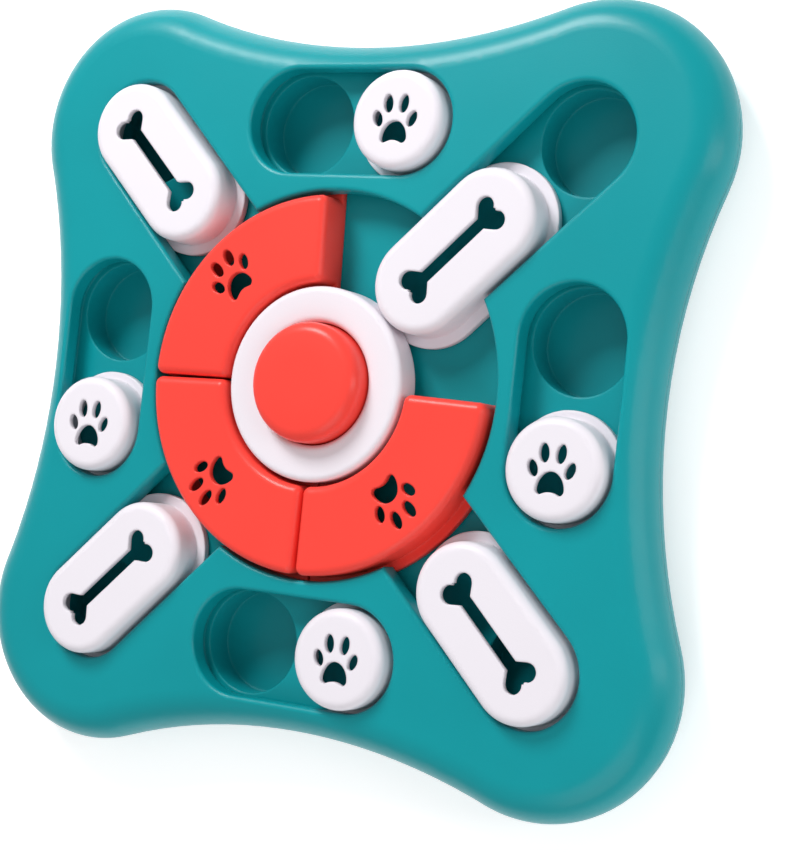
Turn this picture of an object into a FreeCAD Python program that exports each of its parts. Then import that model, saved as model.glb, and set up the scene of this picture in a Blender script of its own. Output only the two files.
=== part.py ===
import FreeCAD, Part
import math
import os
import Sketcher

# Dog puzzle feeder toy. Millimetres, +Z up, origin under the middle of the board on the resting plane.
# The board's top shell, tray and base shell are fixed together. Eight white sliders and three red ring blocks
# run in the tray with their brims under the shell, and a push button works a squeaker in the hub.

Vector = FreeCAD.Vector
UP = Vector(0, 0, 1)

SIZES = {
    # Hub, button and squeaker, from the middle outwards
    "button_radius": 19.0,
    "button_gap": 0.4,
    "button_proud": 8.0,
    "button_round": 4.2,
    "button_dome": 1.0,
    "button_wall": 2.0,
    "button_flange": 2.4,
    "button_flange_height": 2.0,
    "hub_width": 12.0,
    "hub_collar": 3.8,
    "hub_proud": 2.8,
    "hub_round": 2.0,
    "hub_ledge": 3.7,
    "squeaker_fold": 3.2,
    "squeaker_step": 0.8,
    "squeaker_wall": 1.4,
    "squeaker_base": 2.0,
    "reed_radius": 3.0,
    "reed_hole": 1.0,
    "reed_lip": 1.2,
    "reed_taper": 0.8,
    "reed_height": 5.0,
    # Ring blocks
    "block_angle": 88.0,
    "block_width": 27.9,
    "block_proud": 3.0,
    "block_wall": 2.0,
    "block_round": 2.6,
    "block_corner": 2.5,
    "block_end_wall": 4.0,
    "block_gap": 1.7,
    "block_lap": 1.4,
    # Sliders
    "paw_cap_radius": 15.75,
    "paw_cap_gap": 1.25,
    "paw_brim": 2.55,
    "bone_cap_radius": 15.6,
    "bone_cap_gap": 1.6,
    "bone_brim": 3.3,
    "bone_half_length": 15.0,
    "brim_height": 2.4,
    "cap_proud": 3.2,
    "cap_wall": 1.8,
    "cap_round": 3.0,
    "paw_size": 15.6,
    "block_paw_size": 16.0,
    "block_paw_shift": 1.6,
    "bone_span": 16.75,
    "bone_lobe": 2.95,
    "bone_bar": 4.4,
    # Board
    "tongue_width": 5.3,
    "side_half_length": 19.65,
    "waist_rim": 9.2,
    "corner_rim": 28.5,
    "lobe_radius": 42.9,
    "crown_height": 29.0,
    "dome_radius": 3200.0,
    "mouth_round": 1.2,
    "edge_roll": 12.0,
    "edge_tuck": 12.2,
    "shell_wall": 2.6,
    "part_line": 14.0,
    "base_under": 1.2,
    "base_wall": 2.4,
    "lip_height": 3.0,
    "lip_root": 4.0,
    "lip_wall": 1.5,
    "skirt_wall": 3.0,
    # Tray
    "deck_top": 21.0,
    "deck_wall": 2.4,
    "track_floor": 18.0,
    "well_floor": 7.5,
    "well_ledge": 0.5,
    "cup_wall": 2.0,
    "tray_inset": 7.5,
    # Running clearances
    "run_gap": 0.5,
    "lift_gap": 0.3,
    "pass_gap": 1.0,
    "park_gap": 0.35,
    # Feet and screws
    "lip_gap": 0.3,
    "foot_radius": 9.0,
    "foot_height": 2.0,
    "foot_seat": 0.8,
    "screw_radius": 1.4,
    "screw_gap": 0.06,
    "head_radius": 2.8,
    "head_height": 1.4,
    "screw_seat": 0.1,
    "boss_radius": 3.6,
    "drive_length": 2.6,
    "drive_width": 0.6,
    "drive_depth": 0.7,
    "tray_screw_bite": 3.0,
    "base_screw_bite": 11.5,
    "hub_screw_bite": 7.5,
    "pilot_spare": 0.5,
    "tray_screw_along": 10.0,
    "tray_screw_out": 4.0,
    "corner_screw_inset": 18.0,
    "inner_screw_out": 7.3,
    "inner_screw_aside": 4.5,
}

# Sizes that follow from the driving ones.
DERIVED = {
    "hub_radius": "button_radius + hub_width",
    "hub_neck": "hub_radius - hub_collar",
    "hub_room": "button_radius + button_flange + 2 * button_gap",
    "hub_screw_circle": "( hub_room + hub_neck ) / 2",
    "squeaker_radius": "button_radius - 3",
    "block_inner": "hub_radius + block_lap",
    "block_outer": "block_inner + block_width",
    "recess_radius": "block_outer + block_gap",
    "block_brim_outer": "recess_radius + block_lap",
    "block_brim_inner": "hub_neck + block_lap",
    "ring_run": "block_brim_outer + run_gap",
    "paw_brim_radius": "paw_cap_radius + paw_brim",
    "paw_run": "paw_brim_radius + run_gap",
    "bone_brim_radius": "bone_cap_radius + bone_brim",
    "bone_run": "bone_brim_radius + run_gap",
    "side_half_width": "paw_cap_radius + paw_cap_gap",
    "side_distance": "recess_radius + tongue_width + side_half_width",
    "diagonal_half_width": "bone_cap_radius + bone_cap_gap",
    "diagonal_end": "block_brim_outer + pass_gap + bone_brim_radius + 2 * bone_half_length",
    "well_radius": "side_half_width - well_ledge",
    "waist_half": "side_distance + side_half_width + waist_rim",
    "corner_reach": "diagonal_end + diagonal_half_width + corner_rim",
    "lobe_centre": "( corner_reach - lobe_radius ) / sqrt(2)",
    "foot_place": "lobe_centre + foot_radius / 2",
}

SIDES = {"east": 0, "north": 90, "west": 180, "south": 270}
CORNERS = {"ne": 45, "nw": 135, "sw": 225, "se": 315}
# A side slider's parked end, as the turn about its slot that brings it there: 1 is anticlockwise.
PARKED = {"east": -1, "north": -1, "west": 1, "south": 1}
BLOCKS = {"a": 136.5, "b": 225.5, "c": 314.5}
HUB_SCREWS = [60, 180, 300]
SQUEAKER_FOLDS = 4

doc = FreeCAD.newDocument("puzzle_feeder")


def make_sheet():
    """Write every driving size to the sheet under its own name."""
    sheet = doc.addObject("Spreadsheet::Sheet", "Sizes")
    for row, (alias, size) in enumerate(SIZES.items(), start=1):
        sheet.set("A%d" % row, alias)
        sheet.set("B%d" % row, str(size))
        sheet.setAlias("B%d" % row, alias)
    doc.recompute()
    return sheet


sheet = make_sheet()


def value(expression):
    """Give the number that an expression on the sheet stands for."""
    return float(sheet.evalExpression(str(expression)))


def cell(text):
    """Turn bare size names in an expression into references to the sheet."""
    words = []
    for word in str(text).split():
        if word in DERIVED:
            words.append("( " + cell(DERIVED[word]) + " )")
        else:
            words.append("Sizes." + word if word in SIZES else word)
    return " ".join(words)


def size(text):
    """Give the number for an expression of bare size names."""
    return value(cell(text))


def turned(radius, angle):
    """Give the point at a radius and an angle in degrees about the board's middle."""
    spin = math.radians(angle)
    return radius * math.cos(spin), radius * math.sin(spin)


def spun(point, angle):
    """Turn a plan point about the board's middle."""
    spin = math.radians(angle)
    east = point[0] * math.cos(spin) - point[1] * math.sin(spin)
    north = point[0] * math.sin(spin) + point[1] * math.cos(spin)
    return east, north


def place(thing, east=0.0, north=0.0, up="0", angle=0.0):
    """Put an object at a plan point, turned about +Z, at a height bound to the sheet."""
    thing.Placement = FreeCAD.Placement(Vector(east, north, 0), FreeCAD.Rotation(UP, angle))
    thing.setExpression("Placement.Base.z", cell(up))


# Sketches


def fix_point(sketch, element, end, across, along):
    """Bind one sketch point to two expressions."""
    for kind, text in (("DistanceX", across), ("DistanceY", along)):
        number = sketch.addConstraint(Sketcher.Constraint(kind, -1, 1, element, end, size(text)))
        sketch.setExpression("Constraints[%d]" % number, cell(text))


def draw_polygon(sketch, corners):
    """Draw a closed outline whose corners are pairs of expressions."""
    places = [Vector(size(across), size(along), 0) for across, along in corners]
    count = len(corners)
    for index in range(count):
        sketch.addGeometry(Part.LineSegment(places[index], places[(index + 1) % count]))
    for index in range(count):
        sketch.addConstraint(Sketcher.Constraint("Coincident", index, 2, (index + 1) % count, 1))
    for index, (across, along) in enumerate(corners):
        fix_point(sketch, index, 1, across, along)


def draw_circle(sketch, radius):
    """Draw a circle about the sketch's origin."""
    sketch.addGeometry(Part.Circle(Vector(), UP, size(radius)))
    sketch.addConstraint(Sketcher.Constraint("Coincident", 0, 3, -1, 1))
    number = sketch.addConstraint(Sketcher.Constraint("Radius", 0, size(radius)))
    sketch.setExpression("Constraints[%d]" % number, cell(radius))


def draw_stadium(sketch, half_length, radius):
    """Draw a round-ended slot along the sketch's X axis."""
    reach = size(half_length)
    wide = size(radius)
    quarter = math.pi / 2
    right = Part.Circle(Vector(reach, 0, 0), UP, wide)
    left = Part.Circle(Vector(-reach, 0, 0), UP, wide)
    sketch.addGeometry(Part.LineSegment(Vector(-reach, wide, 0), Vector(reach, wide, 0)))
    sketch.addGeometry(Part.ArcOfCircle(right, -quarter, quarter))
    sketch.addGeometry(Part.LineSegment(Vector(reach, -wide, 0), Vector(-reach, -wide, 0)))
    sketch.addGeometry(Part.ArcOfCircle(left, quarter, 3 * quarter))
    for first, first_end, second, second_end in ((0, 2, 1, 2), (1, 1, 2, 1), (2, 2, 3, 2), (3, 1, 0, 1)):
        sketch.addConstraint(Sketcher.Constraint("Tangent", first, first_end, second, second_end))
    sketch.addConstraint(Sketcher.Constraint("PointOnObject", 1, 3, -1))
    number = sketch.addConstraint(Sketcher.Constraint("DistanceX", -1, 1, 1, 3, reach))
    sketch.setExpression("Constraints[%d]" % number, cell(half_length))
    number = sketch.addConstraint(Sketcher.Constraint("DistanceX", 3, 3, -1, 1, reach))
    sketch.setExpression("Constraints[%d]" % number, cell(half_length))
    number = sketch.addConstraint(Sketcher.Constraint("Radius", 1, wide))
    sketch.setExpression("Constraints[%d]" % number, cell(radius))
    sketch.addConstraint(Sketcher.Constraint("Horizontal", 0))


# Features of a body


def new_body(name):
    """Start a body."""
    return doc.addObject("PartDesign::Body", name)


def body_sketch(body, name, plane):
    """Start a sketch on one of the body's own planes."""
    sketch = body.newObject("Sketcher::SketchObject", name)
    support = [part for part in body.Origin.OriginFeatures if part.Role == plane][0]
    sketch.AttachmentSupport = [(support, "")]
    sketch.MapMode = "FlatFace"
    return sketch


def pad(body, name, draw, length):
    """Raise a plan outline from the body's floor."""
    sketch = body_sketch(body, name + "_sketch", "XY_Plane")
    draw(sketch)
    feature = body.newObject("PartDesign::Pad", name)
    feature.Profile = sketch
    feature.setExpression("Length", cell(length))
    doc.recompute()
    return feature


def pocket(body, name, draw, depth):
    """Hollow a plan outline up into the body from its floor."""
    before = body.Shape.Volume
    sketch = body_sketch(body, name + "_sketch", "XY_Plane")
    draw(sketch)
    feature = body.newObject("PartDesign::Pocket", name)
    feature.Profile = sketch
    feature.Reversed = True
    feature.setExpression("Length", cell(depth))
    doc.recompute()
    if feature.Shape.Volume >= before:
        raise RuntimeError(name + " removed nothing")
    return feature


def revolve(body, name, corners, angle="360", kind="PartDesign::Revolution"):
    """Turn a half section about the body's Z axis, centred on its XZ plane."""
    sketch = body_sketch(body, name + "_sketch", "XZ_Plane")
    draw_polygon(sketch, corners)
    feature = body.newObject(kind, name)
    feature.Profile = sketch
    feature.ReferenceAxis = (sketch, ["V_Axis"])
    feature.Midplane = angle != "360"
    feature.setExpression("Angle", cell(angle))
    doc.recompute()
    return feature


def round_edges(body, feature, name, wanted, radius):
    """Round the edges of a feature that a test on each edge picks."""
    names = ["Edge%d" % (index + 1) for index, edge in enumerate(feature.Shape.Edges) if wanted(edge)]
    if not names:
        raise RuntimeError(name + " found no edge")
    fillet = body.newObject("PartDesign::Fillet", name)
    fillet.Base = (feature, names)
    fillet.setExpression("Radius", cell(radius))
    doc.recompute()
    return fillet


def at_height(level):
    """Make a test for edges that lie flat at one height."""
    def wanted(edge):
        box = edge.BoundBox
        return abs(box.ZMin - level) < 0.001 and abs(box.ZMax - level) < 0.001
    return wanted


def at_ring(level, radius):
    """Make a test for the round edge at one height and radius about the body's axis."""
    flat = at_height(level)
    return lambda edge: flat(edge) and abs(edge.BoundBox.XMax - radius) < 0.01


def upright(low, high):
    """Make a test for straight upright edges between two heights."""
    def wanted(edge):
        box = edge.BoundBox
        flat = box.XLength < 0.001 and box.YLength < 0.001
        return flat and abs(box.ZMin - low) < 0.001 and abs(box.ZMax - high) < 0.001
    return wanted


# Solids for booleans


def cylinder(name, radius, low, high, point=(0.0, 0.0)):
    """Make an upright cylinder between two heights."""
    thing = doc.addObject("Part::Cylinder", name)
    thing.setExpression("Radius", cell(radius))
    thing.setExpression("Height", cell("( " + high + " ) - ( " + low + " )"))
    place(thing, point[0], point[1], low)
    return thing


def extrude(name, sketch, height):
    """Raise a sketch into an upright prism."""
    prism = doc.addObject("Part::Extrusion", name)
    prism.Base = sketch
    prism.DirMode = "Custom"
    prism.Dir = UP
    prism.Solid = True
    prism.setExpression("LengthFwd", cell(height))
    return prism


def slot_prism(name, half_length, radius, low, high, point, angle):
    """Make an upright round-ended prism between two heights."""
    sketch = doc.addObject("Sketcher::SketchObject", name + "_sketch")
    draw_stadium(sketch, half_length, radius)
    place(sketch, point[0], point[1], low, angle)
    return extrude(name, sketch, "( " + high + " ) - ( " + low + " )")


def fuse(name, shapes):
    """Join solids."""
    thing = doc.addObject("Part::MultiFuse", name)
    thing.Shapes = shapes
    thing.Refine = True
    return thing


def cut(name, base, tool):
    """Take one solid from another."""
    thing = doc.addObject("Part::Cut", name)
    thing.Base = base
    thing.Tool = tool
    thing.Refine = True
    return thing


def fixed_shape(name, shape):
    """Hold a shape that is worked out from the sheet's values."""
    thing = doc.addObject("Part::Feature", name)
    thing.Shape = shape
    return thing


# Outline of the board


def outline_face(inset):
    """Give the board's plan outline, moved inwards: four convex lobes joined by four hollow sides."""
    centre = size("lobe_centre")
    lobe = size("lobe_radius") - inset
    rise = size("waist_half") - inset - centre
    side = (centre ** 2 + rise ** 2 - lobe ** 2) / (2 * (lobe - rise))
    away = centre + rise + side
    edges = []
    for quarter in range(4):
        turn = 90 * quarter
        lobe_middle = Vector(centre, centre, 0)
        towards_north = (Vector(0, away, 0) - lobe_middle).normalize()
        towards_east = (Vector(away, 0, 0) - lobe_middle).normalize()
        start = lobe_middle + towards_east * lobe
        crest = lobe_middle + Vector(1, 1, 0).normalize() * lobe
        finish = lobe_middle + towards_north * lobe
        waist = Vector(0, centre + rise, 0)
        mirror = Vector(-finish.x, finish.y, 0)
        spin = FreeCAD.Rotation(UP, turn)
        for first, middle, last in ((start, crest, finish), (finish, waist, mirror)):
            points = [spin.multVec(point) for point in (first, middle, last)]
            edges.append(Part.Arc(*points).toShape())
    return Part.Face(Part.Wire(edges))


def outline_prism(inset, low, high):
    """Give the board's outline as a solid between two heights."""
    face = outline_face(inset)
    face.translate(Vector(0, 0, low))
    return face.extrude(Vector(0, 0, high - low))


def domed_block(inset, low, crown, roll):
    """Give the outline as a block with a gently domed top and a rolled edge."""
    dome_radius = size("dome_radius")
    dome = Part.makeSphere(dome_radius, Vector(0, 0, crown - dome_radius))
    block = outline_prism(inset, low, crown + 1).common(dome)
    rim = [edge for edge in block.Edges if edge.BoundBox.ZMin > low + roll]
    return block.makeFillet(roll, rim)


def tucked_block(inset, low, high, tuck):
    """Give the outline as a block whose lower edge is rounded under."""
    block = outline_prism(inset, low, high)
    rim = [edge for edge in block.Edges if edge.BoundBox.ZMax < low + 0.001]
    return block.makeFillet(tuck, rim)


# Tools that repeat around the board


def side_slots(name, radius, low, high):
    """Make the four side slots as prisms."""
    tools = []
    for side, angle in SIDES.items():
        point = turned(size("side_distance"), angle)
        tools.append(slot_prism(name + side, "side_half_length", radius, low, high, point, angle + 90))
    return tools


def diagonal_slots(name, radius, low, high):
    """Make the four diagonal slots as prisms that run from the corners to the middle."""
    half = "diagonal_end / 2"
    tools = []
    for corner, angle in CORNERS.items():
        point = turned(size(half), angle)
        tools.append(slot_prism(name + corner, half, radius, low, high, point, angle))
    return tools


def well_points():
    """Give the middles of the eight food wells."""
    points = []
    for side, angle in SIDES.items():
        reach = -PARKED[side] * size("side_half_length")
        points.append(spun((size("side_distance"), reach), angle))
    for angle in CORNERS.values():
        points.append(turned(size("diagonal_end"), angle))
    return points


def repeated(points):
    """Repeat plan points in the four quarters of the board."""
    return [spun(point, turn) for point in points for turn in (0, 90, 180, 270)]


def shell_screw_points():
    """Give the screws that hold the tray to the shell, between the side and diagonal slots."""
    low = size("side_half_length + paw_run + cup_wall + boss_radius + tray_screw_along")
    high = low + math.sqrt(2) * size("bone_run + cup_wall + boss_radius") + size("tray_screw_out")
    return repeated([(high, low), (low, high)])


def base_screw_points():
    """Give the screws that hold the base: one in each corner and one beside each diagonal track."""
    corner = turned(size("corner_reach - corner_screw_inset"), 45)
    along = size("recess_radius + inner_screw_out")
    across = size("bone_run + inner_screw_aside")
    inner = spun((along, -across), 45)
    return repeated([corner, inner])


def foot_points():
    """Give the middles of the four pads."""
    return repeated([(size("foot_place"), size("foot_place"))])


# Fixed pieces of the board


def make_top_shell():
    """Moulded cover: domed top, rolled edge, slots with hanging skirts, screw bosses."""
    crown = size("crown_height")
    wall = size("shell_wall")
    foot = size("part_line")
    roll = size("edge_roll")
    below = outline_prism(-1, foot - roll - 2, foot)
    outer = domed_block(0, foot - roll, crown, roll).cut(below)
    inner = domed_block(wall, foot - roll - 1, crown - wall, roll - wall)
    outside = fixed_shape("shell_outside", outer)
    hollow = fixed_shape("shell_hollow", outer.cut(inner))
    high = "crown_height + 1"
    skirts = side_slots("skirt_", "side_half_width + skirt_wall", "deck_top", high)
    skirts += diagonal_slots("skirt_", "diagonal_half_width + skirt_wall", "deck_top", high)
    skirts.append(cylinder("skirt_recess", "recess_radius + skirt_wall", "deck_top", high))
    for index, point in enumerate(shell_screw_points()):
        skirts.append(cylinder("shell_boss_%d" % index, "boss_radius", "deck_top", high, point))
    inside = doc.addObject("Part::Common", "shell_skirts")
    inside.Base = outside
    inside.Tool = fuse("skirt_blocks", skirts)
    blank = fuse("shell_blank", [hollow, inside])
    openings = side_slots("mouth_", "side_half_width", "deck_top - 1", high)
    openings += diagonal_slots("mouth_", "diagonal_half_width", "deck_top - 1", high)
    openings.append(cylinder("mouth_recess", "recess_radius", "deck_top - 1", high))
    hole = "screw_radius + screw_gap"
    tip = "deck_top + tray_screw_bite + pilot_spare"
    for index, point in enumerate(shell_screw_points()):
        openings.append(cylinder("shell_pilot_%d" % index, hole, "deck_top - 1", tip, point))
    pierced = cut("shell_pierced", blank, fuse("shell_openings", openings))
    doc.recompute()
    return round_mouths("top_shell", pierced)


def round_mouths(name, pierced):
    """Round the upper rims of the slots and of the recess."""
    high = size("crown_height") - size("shell_wall")
    middle = (size("deck_top") + size("crown_height")) / 2
    walls = [face for face in pierced.Shape.Faces if is_mouth_wall(face, high)]
    rims = [edge for face in walls for edge in face.Edges if edge.BoundBox.ZMin > middle]
    radius = size("mouth_round")
    chosen = []
    for number, edge in enumerate(pierced.Shape.Edges, start=1):
        if any(edge.isSame(rim) for rim in rims):
            chosen.append((number, radius, radius))
    rounded = doc.addObject("Part::Fillet", name)
    rounded.Base = pierced
    rounded.Edges = chosen
    return rounded


def is_mouth_wall(face, high):
    """Tell whether a face is an upright wall from the deck to the shell's outside."""
    upright = face.Surface.TypeId in ("Part::GeomPlane", "Part::GeomCylinder")
    box = face.BoundBox
    return upright and abs(box.ZMin - size("deck_top")) < 0.01 and box.ZMax > high


def make_inner_tray():
    """Moulded deck with slider tracks, ring channel, food wells and the squeaker's cup."""
    low = size("deck_top") - size("deck_wall")
    deck = fixed_shape("tray_deck", outline_prism(size("tray_inset"), low, size("deck_top")))
    under = "track_floor - deck_wall"
    solids = [deck]
    solids += side_slots("under_", "paw_run + cup_wall", under, "deck_top")
    solids += diagonal_slots("under_", "bone_run + cup_wall", under, "deck_top")
    solids.append(cylinder("under_ring", "ring_run + cup_wall", under, "deck_top"))
    cup_low = "well_floor - cup_wall"
    for index, point in enumerate(well_points()):
        solids.append(cylinder("cup_%d" % index, "well_radius + cup_wall", cup_low, "track_floor", point))
    solids.append(cylinder("squeaker_cup", "squeaker_radius + 2 * cup_wall", cup_low, "track_floor"))
    post_low = "base_under + base_wall"
    for index, point in enumerate(base_screw_points()):
        solids.append(cylinder("post_%d" % index, "boss_radius", post_low, "deck_top", point))
    blank = fuse("tray_blank", solids)
    high = "deck_top + 1"
    tools = side_slots("run_", "paw_run", "track_floor", high)
    tools += diagonal_slots("run_", "bone_run", "track_floor", high)
    tools.append(cylinder("run_ring", "ring_run", "track_floor", high))
    for index, point in enumerate(well_points()):
        tools.append(cylinder("well_%d" % index, "well_radius", "well_floor", high, point))
    tools.append(cylinder("squeaker_well", "squeaker_radius + cup_wall", "well_floor", high))
    hole = "screw_radius + screw_gap"
    for index, point in enumerate(shell_screw_points()):
        tools.append(cylinder("deck_hole_%d" % index, hole, under, high, point))
    for index, point in enumerate(base_screw_points()):
        pilot_top = "base_under + base_screw_bite + pilot_spare"
        tools.append(cylinder("post_pilot_%d" % index, hole, "base_under", pilot_top, point))
    for angle in HUB_SCREWS:
        point = turned(size("hub_screw_circle"), angle)
        tools.append(cylinder("hub_hole_%d" % angle, hole, under + " - 1", high, point))
    return cut("inner_tray", blank, fuse("tray_tools", tools))


def make_base_shell():
    """Moulded pan with a rounded-under edge, a lip inside the top shell, foot seats and screw holes."""
    low = size("base_under")
    high = size("part_line")
    wall = size("base_wall")
    tuck = size("edge_tuck")
    outer = tucked_block(0, low, high, tuck)
    inner = tucked_block(wall, low + wall, high + 1, tuck - wall)
    lip_outset = size("shell_wall + lip_gap")
    lip_inset = lip_outset + size("lip_wall")
    lip_top = high + size("lip_height")
    root_low = high - size("lip_root")
    middle = outline_prism(lip_inset, root_low - 1, lip_top + 1)
    root = outline_prism(wall / 2, root_low, high).cut(middle).common(outer)
    crown = size("crown_height") - lip_outset
    room = domed_block(lip_outset, root_low - 1, crown, size("edge_roll") - lip_outset)
    lip = outline_prism(lip_outset, root_low, lip_top).cut(middle).common(room)
    pan = fixed_shape("base_pan", outer.cut(inner).fuse([root, lip]).removeSplitter())
    tools = []
    under = "base_under - 1"
    seat_top = "base_under + foot_seat"
    for index, point in enumerate(foot_points()):
        tools.append(cylinder("foot_seat_%d" % index, "foot_radius + lift_gap", under, seat_top, point))
    hole_top = "base_under + base_wall + 1"
    head_top = "base_under + head_height"
    for index, point in enumerate(base_screw_points()):
        tools.append(cylinder("base_hole_%d" % index, "screw_radius + screw_gap", under, hole_top, point))
        tools.append(cylinder("base_bore_%d" % index, "head_radius + lift_gap", under, head_top, point))
    return cut("base_shell", pan, fuse("base_tools", tools))


def make_foot(number, point):
    """Soft anti-slip pad with a rounded lower edge."""
    body = new_body("foot_%d" % number)
    puck = pad(body, "puck_%d" % number, lambda sketch: draw_circle(sketch, "foot_radius"), "foot_height")
    round_edges(body, puck, "puck_round_%d" % number, at_height(0), "foot_height / 4")
    place(body, point[0], point[1])
    return body


# Hub and squeaker


def make_hub_ring():
    """Fixed white ring whose collar lies over the inner lips of the ring blocks."""
    top = "crown_height + hub_proud"
    collar = "deck_top + lift_gap"
    mouth = "button_radius + button_gap"
    ledge = top + " - hub_ledge"
    corners = [(mouth, top), ("hub_radius", top), ("hub_radius", collar), ("hub_neck", collar),
               ("hub_neck", "track_floor"), ("hub_room", "track_floor"), ("hub_room", ledge), (mouth, ledge)]
    body = new_body("hub_body")
    ring = revolve(body, "hub_section", corners)
    round_edges(body, ring, "hub_round_edge", at_height(size(top)), "hub_round")
    pilots = []
    for angle in HUB_SCREWS:
        point = turned(size("hub_screw_circle"), angle)
        pilot_top = "track_floor + hub_screw_bite + pilot_spare"
        pilots.append(cylinder("hub_pilot_%d" % angle, "screw_radius + screw_gap", "track_floor - 1",
                               pilot_top, point))
    return cut("hub_ring", body, fuse("hub_pilots", pilots))


BUTTON_FOOT = "crown_height + hub_proud - hub_ledge - lift_gap - button_flange_height"


BUTTON_HEIGHT = "button_flange_height + lift_gap + hub_ledge + button_proud"
BUTTON_ROOF = BUTTON_HEIGHT + " - button_wall - button_dome"


def make_squeak_button():
    """Red push button: hollow domed cap with a flange that the hub holds down."""
    flange_top = "button_flange_height"
    rim = "button_radius + button_flange"
    bore = "button_radius - button_wall"
    flat = "button_radius * 0.55"
    shoulder = BUTTON_HEIGHT + " - button_dome"
    bevel = " - button_round + button_wall"
    corners = [("0", BUTTON_HEIGHT), (flat, BUTTON_HEIGHT), ("button_radius", shoulder),
               ("button_radius", flange_top), (rim, flange_top), (rim, "0"), (bore, "0"),
               (bore, BUTTON_ROOF + bevel), (bore + bevel, BUTTON_ROOF), ("0", BUTTON_ROOF)]
    body = new_body("squeak_button")
    cap = revolve(body, "button_section", corners)
    shoulder_ring = at_ring(size(shoulder), size("button_radius"))
    cap = round_edges(body, cap, "button_round_edge", shoulder_ring, "button_round")
    crown_ring = at_ring(size(BUTTON_HEIGHT), size(flat))
    round_edges(body, cap, "button_crown", crown_ring, "button_radius * 3")
    place(body, up=BUTTON_FOOT)
    return body


def make_squeaker_bulb():
    """Soft bellows that stands in the tray's cup and pushes the button up."""
    height = "( " + BUTTON_FOOT + " + " + BUTTON_ROOF + " - lift_gap ) - well_floor"
    wide = "squeaker_radius"
    narrow = "squeaker_radius - squeaker_fold"
    share = "( " + height + " - 2 * squeaker_base ) / %d" % (2 * SQUEAKER_FOLDS)
    corners = [("reed_radius", "0"), (wide, "0"), (wide, "squeaker_base")]
    for fold in range(SQUEAKER_FOLDS):
        corners.append((narrow, "squeaker_base + " + share + " * %d" % (2 * fold + 1)))
        corners.append((wide + " - squeaker_step", "squeaker_base + " + share + " * %d" % (2 * fold + 2)))
    inner = narrow + " - squeaker_wall"
    ceiling = height + " - squeaker_base"
    corners += [(wide + " - squeaker_fold / 2", height), ("0", height), ("0", ceiling), (inner, ceiling),
                (inner, "squeaker_base"), ("reed_radius", "squeaker_base")]
    body = new_body("squeaker_bulb")
    revolve(body, "bulb_section", corners)
    place(body, up="well_floor")
    return body


def make_squeaker_reed():
    """Small whistle insert pressed into the mouth of the bulb."""
    lip = "reed_radius + reed_lip"
    corners = [("reed_hole", "0"), ("reed_radius", "0"), ("reed_radius", "squeaker_base"),
               (lip, "squeaker_base"), (lip, "squeaker_base + reed_hole"),
               ("reed_radius - reed_taper", "reed_height"), ("reed_hole", "reed_height")]
    body = new_body("squeaker_reed")
    revolve(body, "reed_section", corners)
    place(body, up="well_floor")
    return body


# Cut-outs


PAD_POINTS = [(0.0, -0.045), (0.14, -0.085), (0.24, -0.19), (0.295, -0.34), (0.285, -0.45), (0.225, -0.495),
              (0.12, -0.465), (0.0, -0.44)]
# Middle across, middle along, lean in degrees, half length and half width of each toe.
TOES = [(-0.385, -0.01, 22, 0.17, 0.105), (-0.175, 0.295, 7, 0.19, 0.108),
        (0.175, 0.295, -7, 0.19, 0.108), (0.385, -0.01, -22, 0.17, 0.105)]


def paw_shape(scale, depth):
    """Give a paw print as five prisms: one lobed pad and four toes, pointing along +Y."""
    mirrored = [(-across, along) for across, along in PAD_POINTS[-2:0:-1]]
    curve = Part.BSplineCurve()
    points = [Vector(across * scale, along * scale, 0) for across, along in PAD_POINTS + mirrored]
    curve.interpolate(points, PeriodicFlag=True)
    faces = [Part.Face(Part.Wire(curve.toShape()))]
    for across, along, lean, half_length, half_width in TOES:
        ellipse = Part.Ellipse(Vector(), half_length * scale, half_width * scale).toShape()
        ellipse.rotate(Vector(), UP, 90 + lean)
        ellipse.translate(Vector(across * scale, along * scale, 0))
        faces.append(Part.Face(Part.Wire(ellipse)))
    return Part.makeCompound([face.extrude(Vector(0, 0, depth)) for face in faces])


def make_bone_tool(name, depth):
    """Make a bone-shaped prism along X: a bar that flares into two round lobes at each end."""
    neck = "bone_span - 1.6 * bone_lobe"
    flare = "bone_span - 0.74 * bone_lobe"
    wide = "1.7 * bone_lobe"
    right = [(neck, "- bone_bar / 2"), (flare, "- " + wide), ("bone_span", "- bone_lobe"),
             ("bone_span + 0.7 * bone_lobe", "0"),
             ("bone_span", "bone_lobe"), (flare, wide), (neck, "bone_bar / 2")]
    left = [("0 - ( " + across + " )", "0 - ( " + along + " )") for across, along in right]
    sketch = doc.addObject("Sketcher::SketchObject", name + "_sketch")
    draw_polygon(sketch, right + left)
    prism = extrude(name + "_bar", sketch, depth)
    shapes = [prism]
    for index, (along, across) in enumerate(((1, 1), (1, -1), (-1, 1), (-1, -1))):
        lobe = cylinder("%s_lobe_%d" % (name, index), "bone_lobe", "0", depth)
        lobe.setExpression("Placement.Base.x", cell("bone_span * %d" % along))
        lobe.setExpression("Placement.Base.y", cell("bone_lobe * %d" % across))
        shapes.append(lobe)
    return fuse(name, shapes)


# Moving pieces

CAP_HEIGHT = "crown_height + cap_proud - track_floor - lift_gap"


def make_hat(name, draw_cap, draw_brim, draw_hollow):
    """Hollow slider: a rounded cap on a flat brim, open below."""
    body = new_body(name)
    pad(body, name + "_brim", draw_brim, "brim_height")
    cap = pad(body, name + "_cap", draw_cap, CAP_HEIGHT)
    round_edges(body, cap, name + "_round", at_height(size(CAP_HEIGHT)), "cap_round")
    pocket(body, name + "_hollow", draw_hollow, CAP_HEIGHT + " - cap_wall")
    return body


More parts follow.
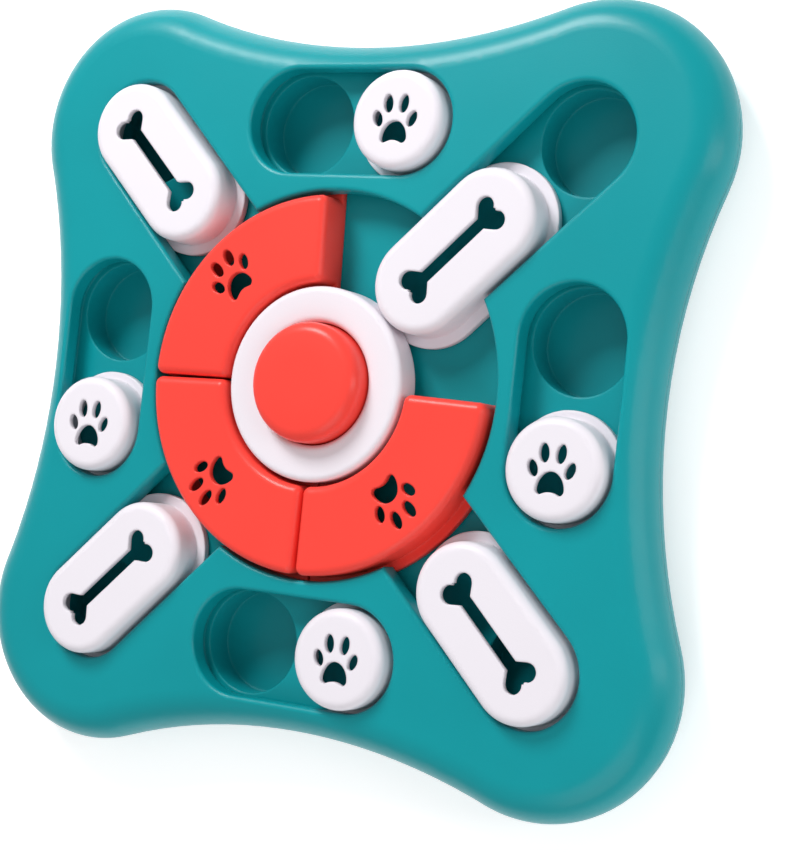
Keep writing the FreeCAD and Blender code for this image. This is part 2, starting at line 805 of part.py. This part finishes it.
def make_paw_slider(side, angle):
    """Round slider with a paw cut-out, parked at one end of its side slot."""
    name = "paw_slider_" + side
    hat = make_hat(name + "_hat",
                   lambda sketch: draw_circle(sketch, "paw_cap_radius"),
                   lambda sketch: draw_circle(sketch, "paw_brim_radius"),
                   lambda sketch: draw_circle(sketch, "paw_cap_radius - cap_wall"))
    paw = fixed_shape(name + "_paw", paw_shape(size("paw_size"), size(CAP_HEIGHT) + 1))
    slider = cut(name, hat, paw)
    reach = PARKED[side] * size("side_half_length - park_gap")
    point = spun((size("side_distance"), reach), angle)
    place(slider, point[0], point[1], "track_floor + lift_gap")
    return slider


def bone_slider_place(corner):
    """Give how far out a bone slider's middle lies in the photographed arrangement."""
    if corner == "ne":
        return size("hub_radius + bone_cap_radius + bone_half_length + button_gap")
    return size("diagonal_end - bone_half_length")


def make_bone_slider(corner, angle):
    """Long slider with a bone cut-out in its diagonal slot."""
    name = "bone_slider_" + corner
    hat = make_hat(name + "_hat",
                   lambda sketch: draw_stadium(sketch, "bone_half_length", "bone_cap_radius"),
                   lambda sketch: draw_stadium(sketch, "bone_half_length", "bone_brim_radius"),
                   lambda sketch: draw_stadium(sketch, "bone_half_length", "bone_cap_radius - cap_wall"))
    slider = cut(name, hat, make_bone_tool(name + "_bone", CAP_HEIGHT + " + 1"))
    point = turned(bone_slider_place(corner), angle)
    place(slider, point[0], point[1], "track_floor + lift_gap", angle)
    return slider


def make_ring_block(letter, angle):
    """Hollow red arc block with a brim on both sides and a paw cut-out."""
    name = "ring_block_" + letter
    height = "crown_height + block_proud - track_floor - lift_gap"
    body = new_body(name + "_body")
    raised = [("block_inner", "0"), ("block_outer", "0"), ("block_outer", height), ("block_inner", height)]
    block = revolve(body, name + "_raised", raised, "block_angle")
    block = round_edges(body, block, name + "_corner", upright(0, size(height)), "block_corner")
    round_edges(body, block, name + "_round", at_height(size(height)), "block_round")
    brim = [("block_brim_inner", "0"), ("block_brim_outer", "0"),
            ("block_brim_outer", "brim_height"), ("block_brim_inner", "brim_height")]
    revolve(body, name + "_brim", brim, "block_angle")
    before = body.Shape.Volume
    roof = height + " - block_wall"
    hollow = [("block_inner + block_wall", "0"), ("block_outer - block_wall", "0"),
              ("block_outer - block_wall", roof), ("block_inner + block_wall", roof)]
    revolve(body, name + "_hollow", hollow, "block_angle - 2 * block_end_wall", "PartDesign::Groove")
    if body.Shape.Volume >= before:
        raise RuntimeError(name + " was not hollowed")
    paw = paw_shape(size("block_paw_size"), size(height) + 1)
    paw.rotate(Vector(), UP, -90)
    paw.translate(Vector(size("( block_inner + block_outer ) / 2 + block_paw_shift"), 0, 0))
    block = cut(name, body, fixed_shape(name + "_paw", paw))
    place(block, up="track_floor + lift_gap", angle=angle)
    return block


# Screws


def screw_shape(head_low, tip):
    """Give a pan-head screw that points up from its head, with a cross recess."""
    radius = size("screw_radius")
    long = size("drive_length")
    wide = size("drive_width")
    deep = size("drive_depth")
    shank = Part.makeCylinder(radius, tip - head_low, Vector(0, 0, head_low))
    head = Part.makeCylinder(size("head_radius"), size("head_height - screw_seat"), Vector(0, 0, head_low))
    slot = Part.makeBox(long, wide, deep, Vector(-long / 2, -wide / 2, head_low))
    cross = Part.makeBox(wide, long, deep, Vector(-wide / 2, -long / 2, head_low))
    return head.fuse(shank).removeSplitter().cut(slot.fuse(cross))


def screw_group(name, points, head_low, tip):
    """Hold one kind of screw as a group of separate solids."""
    screws = []
    for east, north in points:
        screw = screw_shape(size(head_low), size(tip))
        screw.translate(Vector(east, north, 0))
        screws.append(screw)
    return fixed_shape(name, Part.makeCompound(screws))


def make_screws():
    """Make the three kinds of screw."""
    head = " - head_height + screw_seat"
    hub_points = [turned(size("hub_screw_circle"), angle) for angle in HUB_SCREWS]
    kinds = [
        ("tray_screws", shell_screw_points(), "deck_top - deck_wall" + head, "deck_top + tray_screw_bite"),
        ("base_screws", base_screw_points(), "base_under + screw_seat", "base_under + base_screw_bite"),
        ("hub_screws", hub_points, "track_floor - deck_wall" + head, "track_floor + hub_screw_bite"),
    ]
    return [screw_group(*kind) for kind in kinds]


def make_parts():
    """Make every sub-part and give it its node name."""
    parts = {"top_shell": make_top_shell(), "inner_tray": make_inner_tray(), "base_shell": make_base_shell()}
    for number, point in enumerate(foot_points(), start=1):
        parts["foot_%d" % number] = make_foot(number, point)
    parts["hub_ring"] = make_hub_ring()
    parts["squeak_button"] = make_squeak_button()
    parts["squeaker_bulb"] = make_squeaker_bulb()
    parts["squeaker_reed"] = make_squeaker_reed()
    for side, angle in SIDES.items():
        parts["paw_slider_" + side] = make_paw_slider(side, angle)
    for corner, angle in CORNERS.items():
        parts["bone_slider_" + corner] = make_bone_slider(corner, angle)
    for letter, angle in BLOCKS.items():
        parts["ring_block_" + letter] = make_ring_block(letter, angle)
    for group in make_screws():
        parts[group.Name] = group
    for name, part in parts.items():
        part.Label = name
    return parts


def write_parts(parts):
    """Check every object, then write one file for each sub-part."""
    doc.recompute()
    for thing in doc.Objects:
        if "Invalid" in thing.State or "Error" in thing.State:
            raise RuntimeError("%s is %s" % (thing.Name, thing.State))
    for name, part in parts.items():
        if part.Shape.isNull() or not part.Shape.isValid():
            raise RuntimeError(name + " has no valid shape")
    os.makedirs("parts", exist_ok=True)
    for name, part in parts.items():
        part.Shape.exportStep("parts/%s.step" % name)
        bounds = part.Shape.BoundBox
        print("%-20s %2d solids %10.1f mm3  z %.2f to %.2f" % (
            name, len(part.Shape.Solids), part.Shape.Volume, bounds.ZMin, bounds.ZMax))


write_parts(make_parts())
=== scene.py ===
import math
import bmesh
import bpy
from bpy.props import FloatProperty, FloatVectorProperty, IntProperty, PointerProperty
from mathutils import Matrix, Vector


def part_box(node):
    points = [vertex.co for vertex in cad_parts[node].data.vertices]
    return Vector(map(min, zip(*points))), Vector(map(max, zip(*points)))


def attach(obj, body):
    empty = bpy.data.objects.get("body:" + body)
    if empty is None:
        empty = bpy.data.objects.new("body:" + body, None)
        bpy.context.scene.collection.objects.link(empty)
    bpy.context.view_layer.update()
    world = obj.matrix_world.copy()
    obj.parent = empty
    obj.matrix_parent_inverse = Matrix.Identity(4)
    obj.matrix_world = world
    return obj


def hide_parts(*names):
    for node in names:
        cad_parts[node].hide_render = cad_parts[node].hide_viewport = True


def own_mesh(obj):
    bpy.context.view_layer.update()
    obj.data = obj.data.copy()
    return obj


# Dog puzzle feeder toy. Metres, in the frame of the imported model: the board lies flat, +Z up.

bl_info = {
    "name": "Dog puzzle feeder toy",
    "version": (1, 0, 0),
    "blender": (4, 5, 0),
    "location": "View3D > Sidebar > Puzzle feeder",
    "description": "Finishes, squeaker bellows and stage of a sliding puzzle feeder board",
    "category": "Object",
}

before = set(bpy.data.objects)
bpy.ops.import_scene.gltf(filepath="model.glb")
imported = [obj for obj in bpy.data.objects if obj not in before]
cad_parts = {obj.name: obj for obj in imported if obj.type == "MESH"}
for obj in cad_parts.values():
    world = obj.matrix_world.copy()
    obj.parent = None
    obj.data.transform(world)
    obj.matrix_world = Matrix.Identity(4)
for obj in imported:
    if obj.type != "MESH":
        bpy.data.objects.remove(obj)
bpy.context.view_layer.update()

SIDES = ("east", "north", "west", "south")
CORNERS = ("ne", "nw", "sw", "se")
BLOCKS = ("a", "b", "c")
FEET = (1, 2, 3, 4)
MOULDINGS = ("top_shell", "inner_tray", "base_shell")
SCREWS = ("tray_screws", "base_screws", "hub_screws")
SENSOR = 36.0
TURN = 2 * math.pi

# Noise scales in cells per metre
FLOW_MARKS = 18.0
SINK_WAVES = 28.0
SMEARS = 60.0
MICRO_GLOSS = 900.0
MOULD_TEXTURE = 2600.0
RUBBER_CLOUDS = 90.0
RUBBER_GRAINS = 3200.0
ZINC_BLOTCHES = 700.0
ZINC_SCRATCHES = 5000.0
FLOOR_CLOUDS = 3.0

# Studio
AIM = (0.0, 0.0, 0.02)
FLOOR_SIDE = 60.0
FLOOR_GLOW = 0.42
WORLD_LIGHT = 0.42
# Name, place, width, height and share of the main lamp's strength.
LAMPS = (
    ("key_light", (-0.34, 0.72, 0.66), 0.34, 0.34, 1.0),
    ("fill_light", (0.35, -0.85, 0.75), 0.9, 0.9, 0.45),
    ("side_light", (0.95, 0.10, 0.30), 0.25, 0.9, 0.3),
)

# Bellows
SPIN_STEPS = 64
FOLD_FLAT = 0.12
SAME_POINT = 0.00001
SMOOTH_BELOW = math.radians(50)


# Sizes and colours that a user would change


class PlasticSettings(bpy.types.PropertyGroup):
    """Colours and surface of the moulded plastic."""
    teal: FloatVectorProperty(
        name="Teal", description="Colour of the shell, tray and base", subtype="COLOR",
        size=3, default=(0.001, 0.285, 0.318))
    white: FloatVectorProperty(
        name="White", description="Colour of the sliders and the hub", subtype="COLOR",
        size=3, default=(0.80, 0.760, 0.815))
    red: FloatVectorProperty(
        name="Red", description="Colour of the ring blocks and the button", subtype="COLOR",
        size=3, default=(0.93, 0.062, 0.045))
    roughness: FloatProperty(
        name="Roughness", description="Mean roughness of the satin plastic", subtype="FACTOR",
        default=0.36, min=0.0, max=1.0)
    edge: FloatProperty(
        name="Edge", description="Radius of the softened moulded edges", default=0.0011, unit="LENGTH")
    grain: FloatProperty(
        name="Grain", description="Height of the fine mould texture", default=0.00002, unit="LENGTH")


class BellowsSettings(bpy.types.PropertyGroup):
    """Shape of the soft squeaker bellows."""
    folds: IntProperty(
        name="Folds", description="Number of folds in the bellows", default=4, min=1)
    fold: FloatProperty(
        name="Fold depth", description="How far each fold goes in", default=0.0032, unit="LENGTH")
    wall: FloatProperty(
        name="Wall", description="Thickness of the rubber", default=0.0014, unit="LENGTH")
    mouth: FloatProperty(
        name="Mouth", description="Radius of the hole around the reed", default=0.0030, unit="LENGTH")
    cap: FloatProperty(
        name="Cap", description="Height of the flat rim at each end", default=0.0020, unit="LENGTH")
    travel: FloatProperty(
        name="Travel", description="How far the button presses the bellows", default=0.0040, unit="LENGTH")


class StageSettings(bpy.types.PropertyGroup):
    """Camera and lights."""
    eye: FloatVectorProperty(
        name="Eye", description="Place of the camera", subtype="TRANSLATION", size=3,
        default=(0.3101, -0.0293, 0.5545))
    target: FloatVectorProperty(
        name="Target", description="Point at the middle of the picture", subtype="TRANSLATION", size=3,
        default=(0.0312, -0.0107, 0.029))
    roll: FloatProperty(
        name="Roll", description="Turn of the camera about its own line of sight", subtype="ANGLE",
        default=math.radians(6.23))
    lens: FloatProperty(
        name="Lens", description="Focal length on the sensor's long side", default=81.8, unit="CAMERA")
    lamp: FloatProperty(
        name="Lamp", description="Strength of the main soft light", default=9.1, min=0.0, unit="POWER")


# Shader maths on sockets


class Signal:
    """A shader socket whose operators add Math nodes."""

    def __init__(self, graph, socket):
        self.graph = graph
        self.socket = socket

    def maths(self, operation, first, second):
        return self.graph.add("ShaderNodeMath", {"operation": operation}, {0: first, 1: second})

    def __add__(self, other):
        return self.maths("ADD", self, other)

    def __radd__(self, other):
        return self.maths("ADD", other, self)

    def __sub__(self, other):
        return self.maths("SUBTRACT", self, other)

    def __rsub__(self, other):
        return self.maths("SUBTRACT", other, self)

    def __mul__(self, other):
        return self.maths("MULTIPLY", self, other)

    def __rmul__(self, other):
        return self.maths("MULTIPLY", other, self)


class Graph:
    """The node tree of one material."""

    def __init__(self, name):
        self.material = bpy.data.materials.new(name)
        self.material.use_nodes = True
        self.tree = self.material.node_tree
        self.tree.nodes.clear()
        self.output = self.tree.nodes.new("ShaderNodeOutputMaterial")

    def add(self, kind, settings=None, inputs=None, output=0):
        """Add a node, set it up, feed its sockets and give one of its outputs."""
        node = self.tree.nodes.new(kind)
        for name, setting in (settings or {}).items():
            setattr(node, name, setting)
        for name, source in (inputs or {}).items():
            self.feed(node.inputs[name], source)
        return Signal(self, node.outputs[output])

    def feed(self, socket, source):
        """Link a signal to a socket, or set a plain value on it."""
        if isinstance(source, Signal):
            self.tree.links.new(source.socket, socket)
        else:
            socket.default_value = source

    def place(self):
        """Give the point in the piece's own space."""
        return self.add("ShaderNodeTexCoord", output="Object")

    def noise(self, scale, detail=2.0):
        """Give noise from 0 to 1, scale in cells per metre."""
        return self.add("ShaderNodeTexNoise", None,
                        {"Vector": self.place(), "Scale": scale, "Detail": detail}, "Fac")

    def ramp(self, factor, stops):
        """Map a number to a colour by stops."""
        node = self.tree.nodes.new("ShaderNodeValToRGB")
        elements = node.color_ramp.elements
        for element, (position, colour) in zip(elements, stops):
            element.position = position
            element.color = (*colour, 1.0)
        self.feed(node.inputs["Fac"], factor)
        return Signal(self, node.outputs["Color"])

    def finish(self, shader):
        """Use a shader as the surface."""
        self.tree.links.new(shader.socket, self.output.inputs["Surface"])
        return self.material


def shade(colour, factor):
    """Give a darker or lighter copy of a colour."""
    return tuple(min(channel * factor, 1.0) for channel in colour)


def moulded_plastic(name, colour, roughness, edge, grain, variation=0.05, coat=0.08):
    """Satin moulded plastic: faint flow marks, a fine mould texture and softened edges."""
    graph = Graph(name)
    flow = graph.noise(FLOW_MARKS, 3.0)
    base = graph.ramp(flow, ((0.25, shade(colour, 1 - variation)), (0.75, shade(colour, 1 + variation))))
    fine = graph.noise(MICRO_GLOSS, 2.0)
    smear = graph.noise(SMEARS, 4.0)
    rough = roughness - 0.05 + 0.06 * smear + 0.04 * fine
    softened = graph.add("ShaderNodeBevel", {"samples": 6}, {"Radius": edge})
    texture = graph.noise(MOULD_TEXTURE, 1.0)
    wave = graph.noise(SINK_WAVES, 1.0)
    height = texture * grain + wave * (grain * 8)
    normal = graph.add("ShaderNodeBump", None,
                       {"Strength": 1.0, "Distance": 1.0, "Height": height, "Normal": softened})
    shader = graph.add("ShaderNodeBsdfPrincipled", None, {
        "Base Color": base, "Roughness": rough, "Normal": normal,
        "IOR": 1.48, "Coat Weight": coat, "Coat Roughness": 0.18,
        "Specular IOR Level": 0.24})
    return graph.finish(shader)


def soft_rubber(name, colour, roughness):
    """Matt elastomer with a grained surface."""
    graph = Graph(name)
    cloud = graph.noise(RUBBER_CLOUDS, 3.0)
    base = graph.ramp(cloud, ((0.2, shade(colour, 0.92)), (0.8, colour)))
    grains = graph.noise(RUBBER_GRAINS, 2.0)
    normal = graph.add("ShaderNodeBump", None, {"Strength": 0.6, "Distance": 0.00012, "Height": grains})
    shader = graph.add("ShaderNodeBsdfPrincipled", None, {
        "Base Color": base, "Roughness": roughness - 0.06 + 0.12 * grains, "Normal": normal,
        "Specular IOR Level": 0.35})
    return graph.finish(shader)


def zinc_steel(name):
    """Bright zinc-plated steel with blotches and fine scratches."""
    graph = Graph(name)
    blotch = graph.noise(ZINC_BLOTCHES, 3.0)
    base = graph.ramp(blotch, ((0.2, (0.50, 0.50, 0.48)), (0.8, (0.72, 0.72, 0.70))))
    scratches = graph.noise(ZINC_SCRATCHES, 2.0)
    normal = graph.add("ShaderNodeBump", None, {"Strength": 0.4, "Distance": 0.00004, "Height": scratches})
    shader = graph.add("ShaderNodeBsdfPrincipled", None, {
        "Base Color": base, "Metallic": 1.0, "Roughness": 0.22 + 0.2 * blotch, "Normal": normal})
    return graph.finish(shader)


def pale_floor(name):
    """White studio floor that keeps soft shadows."""
    graph = Graph(name)
    cloud = graph.noise(FLOOR_CLOUDS, 2.0)
    base = graph.ramp(cloud, ((0.3, (0.93, 0.93, 0.935)), (0.7, (0.95, 0.95, 0.955))))
    seen = graph.add("ShaderNodeLightPath", output="Is Camera Ray")
    mirrored = graph.add("ShaderNodeLightPath", output="Is Glossy Ray")
    clear = graph.add("ShaderNodeLightPath", output="Is Transmission Ray")
    glow = graph.ramp(seen + mirrored + clear, ((0.0, (0.0,) * 3), (1.0, (FLOOR_GLOW,) * 3)))
    surface = graph.add("ShaderNodeBsdfPrincipled", None, {
        "Base Color": base, "Roughness": 0.6, "Emission Color": glow, "Emission Strength": 1.0})
    return graph.finish(surface)


# Materials are made once and shared by name


def plastics():
    return bpy.context.scene.feeder_plastic


def material(finish):
    """Give a finish by name, made the first time it is asked for."""
    name = "finish_" + finish
    found = bpy.data.materials.get(name)
    if found:
        return found
    look = plastics()
    rough, edge, grain = look.roughness, look.edge, look.grain
    if finish == "teal_plastic":
        return moulded_plastic(name, tuple(look.teal), rough, edge, grain)
    if finish == "white_plastic":
        return moulded_plastic(name, tuple(look.white), rough - 0.04, edge, grain, 0.015)
    if finish == "red_plastic":
        return moulded_plastic(name, tuple(look.red), rough - 0.04, edge, grain, 0.04)
    if finish == "pad_rubber":
        return soft_rubber(name, (0.62, 0.62, 0.60), 0.7)
    if finish == "bulb_rubber":
        return soft_rubber(name, (0.75, 0.70, 0.58), 0.55)
    if finish == "reed_plastic":
        return moulded_plastic(name, (0.82, 0.82, 0.80), 0.4, 0.0002, grain, 0.02)
    if finish == "screw_steel":
        return zinc_steel(name)
    raise ValueError("no finish named " + finish)


def paint(node, finish):
    """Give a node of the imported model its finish."""
    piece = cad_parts[node]
    piece.data.materials.clear()
    piece.data.materials.append(material(finish))


# Operators, one for each piece or group of like pieces


class FEEDER_OT_board(bpy.types.Operator):
    """Finish the top shell, the inner tray and the base shell"""
    bl_idname = "feeder.board"
    bl_label = "Board mouldings"

    def execute(self, context):
        for node in MOULDINGS:
            paint(node, "teal_plastic")
        return {"FINISHED"}


class FEEDER_OT_feet(bpy.types.Operator):
    """Finish the anti-slip pads"""
    bl_idname = "feeder.feet"
    bl_label = "Anti-slip pads"

    def execute(self, context):
        for number in FEET:
            paint("foot_%d" % number, "pad_rubber")
        return {"FINISHED"}


class FEEDER_OT_hub(bpy.types.Operator):
    """Finish the hub ring, the push button and the squeaker's reed"""
    bl_idname = "feeder.hub"
    bl_label = "Hub and button"

    def execute(self, context):
        paint("hub_ring", "white_plastic")
        paint("squeak_button", "red_plastic")
        paint("squeaker_reed", "reed_plastic")
        return {"FINISHED"}


def bellows_section(shape, low, high, radius):
    """Give the corners of the rubber's section, from the mouth up to the middle of the closed top."""
    narrow = radius - shape.fold
    wide = radius - shape.wall / 2
    rise = (high - low - 2 * shape.cap) / (2 * shape.folds)
    flat = FOLD_FLAT * rise
    corners = [(shape.mouth, low), (wide, low), (radius, low + shape.wall / 2), (radius, low + shape.cap)]
    for fold in range(shape.folds):
        waist = low + shape.cap + rise * (2 * fold + 1)
        crest = waist + rise
        corners += [(narrow, waist - flat), (narrow, waist + flat), (wide, crest - flat)]
        if fold < shape.folds - 1:
            corners += [(wide, crest + flat)]
    corners += [(wide, high - shape.wall / 2), (radius - shape.wall, high), (0.0, high)]
    return corners


def place_point(piece, corner):
    """Move the single selected point to a corner of the section."""
    mesh = bmesh.from_edit_mesh(piece.data)
    for vertex in mesh.verts:
        vertex.co = (corner[0], 0.0, corner[1])
    bmesh.update_edit_mesh(piece.data)


def spin_section(name, corners):
    """Extrude a point along a section and spin the line into a skin with its normals outwards."""
    bpy.ops.object.select_all(action="DESELECT")
    bpy.ops.mesh.primitive_circle_add(vertices=3, radius=corners[0][0], location=(0, 0, 0))
    piece = bpy.context.object
    piece.name = name
    bpy.ops.object.mode_set(mode="EDIT")
    bpy.ops.mesh.select_all(action="SELECT")
    bpy.ops.mesh.merge(type="CENTER")
    place_point(piece, corners[0])
    for before, after in zip(corners, corners[1:]):
        step = (after[0] - before[0], 0.0, after[1] - before[1])
        bpy.ops.mesh.extrude_region_move(TRANSFORM_OT_translate={"value": step})
    bpy.ops.mesh.select_all(action="SELECT")
    bpy.ops.mesh.spin(steps=SPIN_STEPS, angle=TURN, center=(0, 0, 0), axis=(0, 0, 1))
    bpy.ops.mesh.select_all(action="SELECT")
    bpy.ops.mesh.remove_doubles(threshold=SAME_POINT)
    bpy.ops.mesh.normals_make_consistent(inside=False)
    bpy.ops.object.mode_set(mode="OBJECT")
    return piece


def thicken(piece, wall):
    """Give a skin its wall, inwards."""
    skin = piece.modifiers.new("wall", "SOLIDIFY")
    skin.thickness = wall
    skin.offset = -1.0
    skin.use_even_offset = False
    bpy.ops.object.modifier_apply(modifier=skin.name)


class FEEDER_OT_bellows(bpy.types.Operator):
    """Model the soft bellows that the button presses"""
    bl_idname = "feeder.bellows"
    bl_label = "Squeaker bellows"

    def execute(self, context):
        shape = context.scene.feeder_bellows
        lowest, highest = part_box("squeaker_bulb")
        low, high, radius = lowest[2], highest[2], highest[0]
        piece = spin_section("squeaker_bellows", bellows_section(shape, low, high, radius))
        thicken(piece, shape.wall)
        bpy.ops.object.shade_smooth_by_angle(angle=SMOOTH_BELOW)
        piece.data.materials.append(material("bulb_rubber"))
        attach(piece, "board")
        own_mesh(piece)
        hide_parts("squeaker_bulb")
        return {"FINISHED"}


class FEEDER_OT_sliders(bpy.types.Operator):
    """Finish the paw and bone sliders"""
    bl_idname = "feeder.sliders"
    bl_label = "Sliders"

    def execute(self, context):
        for side in SIDES:
            paint("paw_slider_" + side, "white_plastic")
        for corner in CORNERS:
            paint("bone_slider_" + corner, "white_plastic")
        return {"FINISHED"}


class FEEDER_OT_blocks(bpy.types.Operator):
    """Finish the ring blocks"""
    bl_idname = "feeder.blocks"
    bl_label = "Ring blocks"

    def execute(self, context):
        for letter in BLOCKS:
            paint("ring_block_" + letter, "red_plastic")
        return {"FINISHED"}


class FEEDER_OT_screws(bpy.types.Operator):
    """Finish the screws"""
    bl_idname = "feeder.screws"
    bl_label = "Screws"

    def execute(self, context):
        for node in SCREWS:
            paint(node, "screw_steel")
        return {"FINISHED"}


def soft_lamp(name, place, wide, high, watts):
    """Hang a rectangular soft light and point it at the board."""
    light = bpy.data.lights.new(name, "AREA")
    light.shape = "RECTANGLE"
    light.size = wide
    light.size_y = high
    light.energy = watts
    lamp = bpy.data.objects.new(name, light)
    bpy.context.scene.collection.objects.link(lamp)
    lamp.location = place
    lamp.rotation_euler = (Vector(AIM) - Vector(place)).to_track_quat("-Z", "Y").to_euler()


def set_world():
    """Light the scene evenly from all round."""
    world = bpy.data.worlds.new("studio")
    world.use_nodes = True
    background = world.node_tree.nodes["Background"]
    background.inputs["Color"].default_value = (1.0, 1.0, 1.0, 1.0)
    background.inputs["Strength"].default_value = WORLD_LIGHT
    bpy.context.scene.world = world


def make_camera(stage):
    """Put the camera where the photograph was taken from."""
    data = bpy.data.cameras.new("photo_camera")
    data.sensor_fit = "AUTO"
    data.sensor_width = SENSOR
    data.lens = stage.lens
    data.clip_start = 0.01
    data.clip_end = 100.0
    camera = bpy.data.objects.new("photo_camera", data)
    bpy.context.scene.collection.objects.link(camera)
    eye = Vector(stage.eye)
    back = (eye - Vector(stage.target)).normalized()
    right = Vector((0.0, 1.0, 0.0)).cross(back).normalized()
    level = Matrix((right, back.cross(right), back)).transposed().to_4x4()
    camera.matrix_world = Matrix.Translation(eye) @ level @ Matrix.Rotation(stage.roll, 4, "Z")
    bpy.context.scene.camera = camera


class FEEDER_OT_stage(bpy.types.Operator):
    """Make the floor, the soft lights and the camera"""
    bl_idname = "feeder.stage"
    bl_label = "Stage"

    def execute(self, context):
        stage = context.scene.feeder_stage
        bpy.ops.object.select_all(action="DESELECT")
        bpy.ops.mesh.primitive_plane_add(size=FLOOR_SIDE, location=(0, 0, 0))
        floor = context.object
        floor.name = "studio_floor"
        floor.data.materials.append(pale_floor("pale_floor"))
        for name, place, wide, high, share in LAMPS:
            soft_lamp(name, place, wide, high, stage.lamp * share)
        set_world()
        make_camera(stage)
        context.scene.view_settings.view_transform = "Standard"
        return {"FINISHED"}


class FEEDER_PT_panel(bpy.types.Panel):
    """Lists the pieces, their colours and the stage"""
    bl_idname = "FEEDER_PT_panel"
    bl_label = "Puzzle feeder"
    bl_space_type = "VIEW_3D"
    bl_region_type = "UI"
    bl_category = "Puzzle feeder"

    def draw(self, context):
        layout = self.layout
        for operator in OPERATORS:
            layout.operator(operator.bl_idname)
        for name in ("teal", "white", "red", "roughness", "edge", "grain"):
            layout.prop(context.scene.feeder_plastic, name)
        for name in ("folds", "fold", "wall", "mouth", "cap", "travel"):
            layout.prop(context.scene.feeder_bellows, name)
        for name in ("eye", "target", "roll", "lens", "lamp"):
            layout.prop(context.scene.feeder_stage, name)


OPERATORS = (FEEDER_OT_board, FEEDER_OT_feet, FEEDER_OT_hub, FEEDER_OT_bellows, FEEDER_OT_sliders,
             FEEDER_OT_blocks, FEEDER_OT_screws, FEEDER_OT_stage)
CLASSES = (PlasticSettings, BellowsSettings, StageSettings, *OPERATORS, FEEDER_PT_panel)


def register():
    for kind in CLASSES:
        bpy.utils.register_class(kind)
    bpy.types.Scene.feeder_plastic = PointerProperty(type=PlasticSettings)
    bpy.types.Scene.feeder_bellows = PointerProperty(type=BellowsSettings)
    bpy.types.Scene.feeder_stage = PointerProperty(type=StageSettings)


def unregister():
    del bpy.types.Scene.feeder_stage
    del bpy.types.Scene.feeder_bellows
    del bpy.types.Scene.feeder_plastic
    for kind in reversed(CLASSES):
        bpy.utils.unregister_class(kind)


def main():
    register()
    bpy.ops.feeder.board()
    bpy.ops.feeder.feet()
    bpy.ops.feeder.hub()
    bpy.ops.feeder.bellows()
    bpy.ops.feeder.sliders()
    bpy.ops.feeder.blocks()
    bpy.ops.feeder.screws()
    bpy.ops.feeder.stage()


if __name__ == "__main__":
    main()
